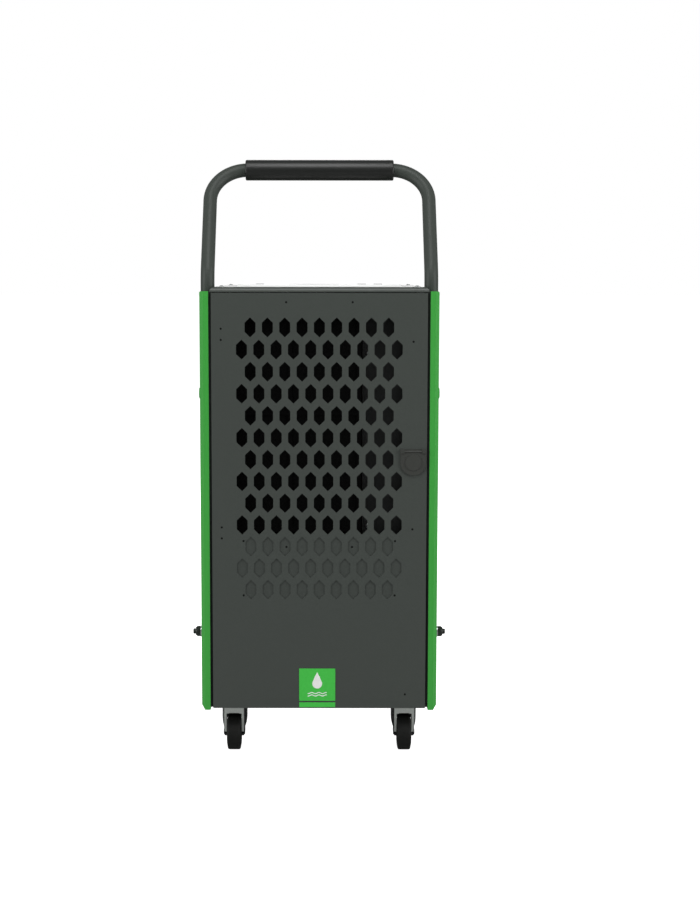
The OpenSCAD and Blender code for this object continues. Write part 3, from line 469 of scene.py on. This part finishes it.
# ---------------------------------------------------------------- cooling circuit
# The hermetic compressor is two deep-drawn steel cups, welded round the middle and dipped in
# black enamel. It stands on three rubber feet; copper pipes run up to the coils.
rubber, tree, shader, place = coat("vulcanised_rubber", "#151615", 0.0, 0.7, IOR=1.52)
grain(tree, shader, place, 1.5, 0.02, ("#121312", "#191a19"), (0.62, 0.78))
rounded("compressor", 0.8, black_enamel)
rounded("compressor_mounts", 0.6, rubber)
rounded("refrigerant_pipes", 0, copper)
CAN_X, CAN_Y, CAN_R, WELD_Z = -30, 255, 59, 205
weld = [(4.0 * cos(a), CAN_R + 1.6 * sin(a)) for a in (2 * pi * k / 12 for k in range(12))]
mesh = turned("compressor_weld", weld, at(CAN_X, CAN_Y, WELD_Z), (0, 0, 1), 96)
piece("compressor_weld", mesh, [black_enamel], "cabinet")

# The drip tray is vacuum formed; a rubber hose takes the water from its spout to the outlet.
rounded("drip_tray", 0.6, black_pa)
rounded("drain_hose", 0.5, rubber)
rounded("drain_spigot", 0.4, black_pa)
rounded("cable_gland", 0.4, black_pa)

# ---------------------------------------------------------------- electrics
# Black powder coated sheet closes the electrics space in front and beside the air duct. Bright
# pan head screws hold the plate, the lid and the rear wall. The circuit board has a green solder
# mask and dark parts on it.
dark_coat = powder_coat("black_powder_coat", "#1b1d1c", "#1e201f", 0.5)
for node in ("electrics_cover", "divider"):
    rounded(node, 0.35, dark_coat)
rounded("panel_screws", 0.3, plated)
solder_mask, tree, shader, place = coat("green_solder_mask", "#1f5b34", 0.0, 0.3, IOR=1.5)
grain(tree, shader, place, 6, 0.02, ("#1a5230", "#256b3e"), (0.25, 0.4), 6.0)
parts_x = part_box("control_board")[0].x + 8 * MM
rounded("control_board", 0.3, solder_mask, black_pa,
        pick=lambda face: int(face.calc_center_median().x > parts_x))

# ---------------------------------------------------------------- door
# The door is one steel sheet with hemmed edges and punched six-sided slots, powder coated with
# the cabinet. A black plate closes its three lowest rows from behind.
door_coat = powder_coat("door_powder_coat", GRAPHITE, "#3d423e", 0.42)
rounded("front_door", 0.35, door_coat)
plate_coat = powder_coat("plate_powder_coat", "#343935", "#373c38", 0.5)
rounded("blanking_plate", 0.3, plate_coat)
for node in ("frame_hinge_leaves", "door_hinge_leaves", "hinge_pins"):
    rounded(node, 0.25, plated)
# The rivets are real, but their near-black, barely mirroring colour is painted shade standing for the dark
# holes they sit in.
hole_shade_black, tree, shader, place = coat("matt_black_rivet", "#060706", 0.0, 0.75, Specular_IOR_Level=0.08)
grain(tree, shader, place, 1.0, 0.004, ("#050505", "#080908"))
rounded("door_rivets", 0.1, hole_shade_black)

# The badge is two green label plates; the upper one has a plain white water drop over two waves.
label, tree, shader, place = coat("printed_green_label", "#3fbe44", 0.0, 0.5, IOR=1.5)
grain(tree, shader, place, 5, 0.002, ("#3dbc42", "#41c046"), (0.46, 0.54))
rounded("badge", 0.12, label)
badge_low, badge_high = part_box("badge")
DROP_R = 9.0
drop = [(DROP_R * cos(radians(a)), DROP_R * sin(radians(a))) for a in range(-215, 36, 10)]
drop += [(4.6, 12.8), (2.4, 16.6), (0, 21.5), (-2.4, 16.6), (-4.6, 12.8)]
waves = []
for v in (-17.5, -22.0):
    line = [(u, v + 1.1 * sin(u * 2 * pi / 13)) for u in (-17.5 + 35 * i / 28 for i in range(29))]
    for (u0, v0), (u1, v1) in zip(line, line[1:]):
        waves.append([(u0, v0 - 0.8), (u1, v1 - 0.8), (u1, v1 + 0.8), (u0, v0 + 0.8)])
badge_x, MARK_Z = (badge_low.x + badge_high.x) / 2, 137.5 * MM
mesh = flat_shapes("badge_mark", [drop] + waves, 0.1,
                   lambda u, v, h: Vector((badge_x + u * MM, badge_low.y - (h - 0.04) * MM, MARK_Z + v * MM)))
piece("badge_mark", mesh, [pad_print], "door")

# A quarter-turn lock sits in a moulded surround with a dust cover on a steel pin.
warm_pa, tree, shader, place = coat("moulded_grey_polyamide", "#323430", 0.0, 0.45, IOR=1.53)
grain(tree, shader, place, 1.4, 0.012, ("#30322e", "#343632"), (0.4, 0.52))
rounded("lock_escutcheon", 0.2, warm_pa)
rounded("lock_flap", 0.2, warm_pa)
rounded("lock_pin", 0.1, blackened)
rounded("lock_cylinder", 0.3, plated)
rounded("lock_cam", 0.25, plated)

# ---------------------------------------------------------------- castors
# Four castors carry the chassis: pressed and zinc plated forks, black axles, and wheels moulded
# in polypropylene with a grey-black rubber tyre. The front pair swivels; on its forks the faces
# behind the front lip and on the flanks are given black enamel as painted shade.
pressed_zinc, tree, shader, place = coat("pressed_zinc_plate", "#ccd1cc", 1.0, 0.4)
grain(tree, shader, place, 2.5, 0.004, ("#c8cdc8", "#d2d7d2"), (0.36, 0.46))
tyre, tree, shader, place = coat("wheel_tyre_rubber", "#10110f", 0.0, 0.6, Specular_IOR_Level=0.22)
grain(tree, shader, place, 1.8, 0.02, ("#0e0f0d", "#131412"), (0.55, 0.68))
hub_pp, tree, shader, place = coat("moulded_hub_polypropylene", "#0d0e0d", 0.0, 0.42,
                                   Specular_IOR_Level=0.3)
grain(tree, shader, place, 1.2, 0.01, ("#0c0d0c", "#101110"), (0.38, 0.5))
for node in ("castor_plates", "castor_screws"):
    rounded(node, 0.3, plated)
LIP, FLANK = 6 * MM, 17 * MM


def in_painted_fork_shade(face, low, middle):
    """Whether a fork's face is behind its lip or on a flank, where black is painted as shade."""
    spot = face.calc_center_median()
    return spot.y > low.y + LIP or abs(spot.x - middle.x) > FLANK and abs(face.normal.x) > 0.9


for node in ("castor_fork_left", "castor_fork_right"):
    low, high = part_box(node)
    middle = (low + high) / 2
    # Painted shade: the fork's faces behind its lit front lip, and its flanks, take the black enamel.
    rounded(node, 0.6, pressed_zinc, black_enamel, segments=3,
            pick=lambda face: int(in_painted_fork_shade(face, low, middle)))
rounded("rear_castor_forks", 0.6, pressed_zinc, segments=3)
for node in ("castor_axle_left", "castor_axle_right", "rear_axles"):
    rounded(node, 0.3, blackened)
HUB_R = 23.4 * MM
for node in ("castor_wheel_left", "castor_wheel_right", "rear_wheel_left", "rear_wheel_right"):
    low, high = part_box(node)
    middle = (low + high) / 2
    rounded(node, 0.3, tyre, hub_pp,
            pick=lambda face: int((face.calc_center_median() - middle).yz.length < HUB_R))

# ---------------------------------------------------------------- studio
# A pale floor that runs out of sight, white all round, one large soft box above and in front, one
# on each side and one behind. Floor and surroundings look white to the camera, and light less.
FLOOR_HALF = 60.0
floor_mesh = bpy.data.meshes.new("floor")
corners = [(a * FLOOR_HALF, b * FLOOR_HALF, 0) for a, b in ((-1, -1), (1, -1), (1, 1), (-1, 1))]
floor_mesh.from_pydata(corners, [], [(0, 1, 2, 3)])
floor = bpy.data.objects.new("floor", floor_mesh)
bpy.context.scene.collection.objects.link(floor)
floor_paint, tree, shader, place = coat("pale_floor", "#f4f4f4", 0.0, 0.9, Specular_IOR_Level=0.0)
ray = add(tree, "LightPath").outputs["Is Camera Ray"]
glow = add(tree, "Emission", inputs={"Color": (1, 1, 1, 1), "Strength": 0.96})
seen = add(tree, "AddShader", inputs={0: shader.outputs[0], 1: glow.outputs[0]})
dull = add(tree, "BsdfDiffuse", inputs={"Color": (0.42, 0.42, 0.42, 1)})
both = add(tree, "MixShader", inputs={0: ray, 1: dull.outputs[0], 2: seen.outputs[0]})
tree.links.new(both.outputs[0], tree.nodes["Material Output"].inputs["Surface"])
floor_mesh.materials.append(floor_paint)

world = bpy.data.worlds.new("studio")
bpy.context.scene.world = world
world.use_nodes = True
tree = world.node_tree
ray = add(tree, "LightPath").outputs["Is Camera Ray"]
level = add(tree, "MapRange", inputs={"Value": ray, "To Min": 0.26, "To Max": 1.0})
tree.links.new(level.outputs["Result"], tree.nodes["Background"].inputs["Strength"])
tree.nodes["Background"].inputs["Color"].default_value = (1, 1, 1, 1)

SOFT_BOXES = {
    "above_front": ((0, -1.55, 3.1), (0, 0, 0.7), 1.6, 1.6, 39),
    "left_side": ((-2.7, -1.5, 1.3), (0, 0, 0.7), 1.6, 2.6, 52),
    "right_side": ((2.7, -1.5, 1.3), (0, 0, 0.7), 1.6, 2.6, 55),
    "behind": ((0, 3.2, 2.0), (0, 0, 0.6), 2.0, 1.6, 30),
}
for name, (spot, aim, wide, high, watts) in SOFT_BOXES.items():
    light = bpy.data.lights.new(name, "AREA")
    light.shape, light.size, light.size_y, light.energy = "RECTANGLE", wide, high, watts
    lamp = bpy.data.objects.new(name, light)
    lamp.location = spot
    lamp.rotation_euler = (Vector(aim) - Vector(spot)).to_track_quat("-Z", "Y").to_euler()
    lamp.visible_camera = False
    bpy.context.scene.collection.objects.link(lamp)

# The camera stands 2.94 m in front of the door at handle height and looks slightly down. Its
# frame is shifted so that the machine stands left of the middle, and it is rolled by a trace.
camera = bpy.data.cameras.new("camera")
camera.sensor_width, camera.lens = 36, 36 * 1640 / 900
camera.shift_x, camera.shift_y = 29 / 900, 0.4 / 900
viewer = bpy.data.objects.new("camera", camera)
viewer.location = at(2.8, -2938, 885.4)
viewer.rotation_euler = (radians(90 - 6.19), radians(-0.05), 0)
bpy.context.scene.collection.objects.link(viewer)
bpy.context.scene.camera = viewer
bpy.context.scene.view_settings.view_transform = "Standard"
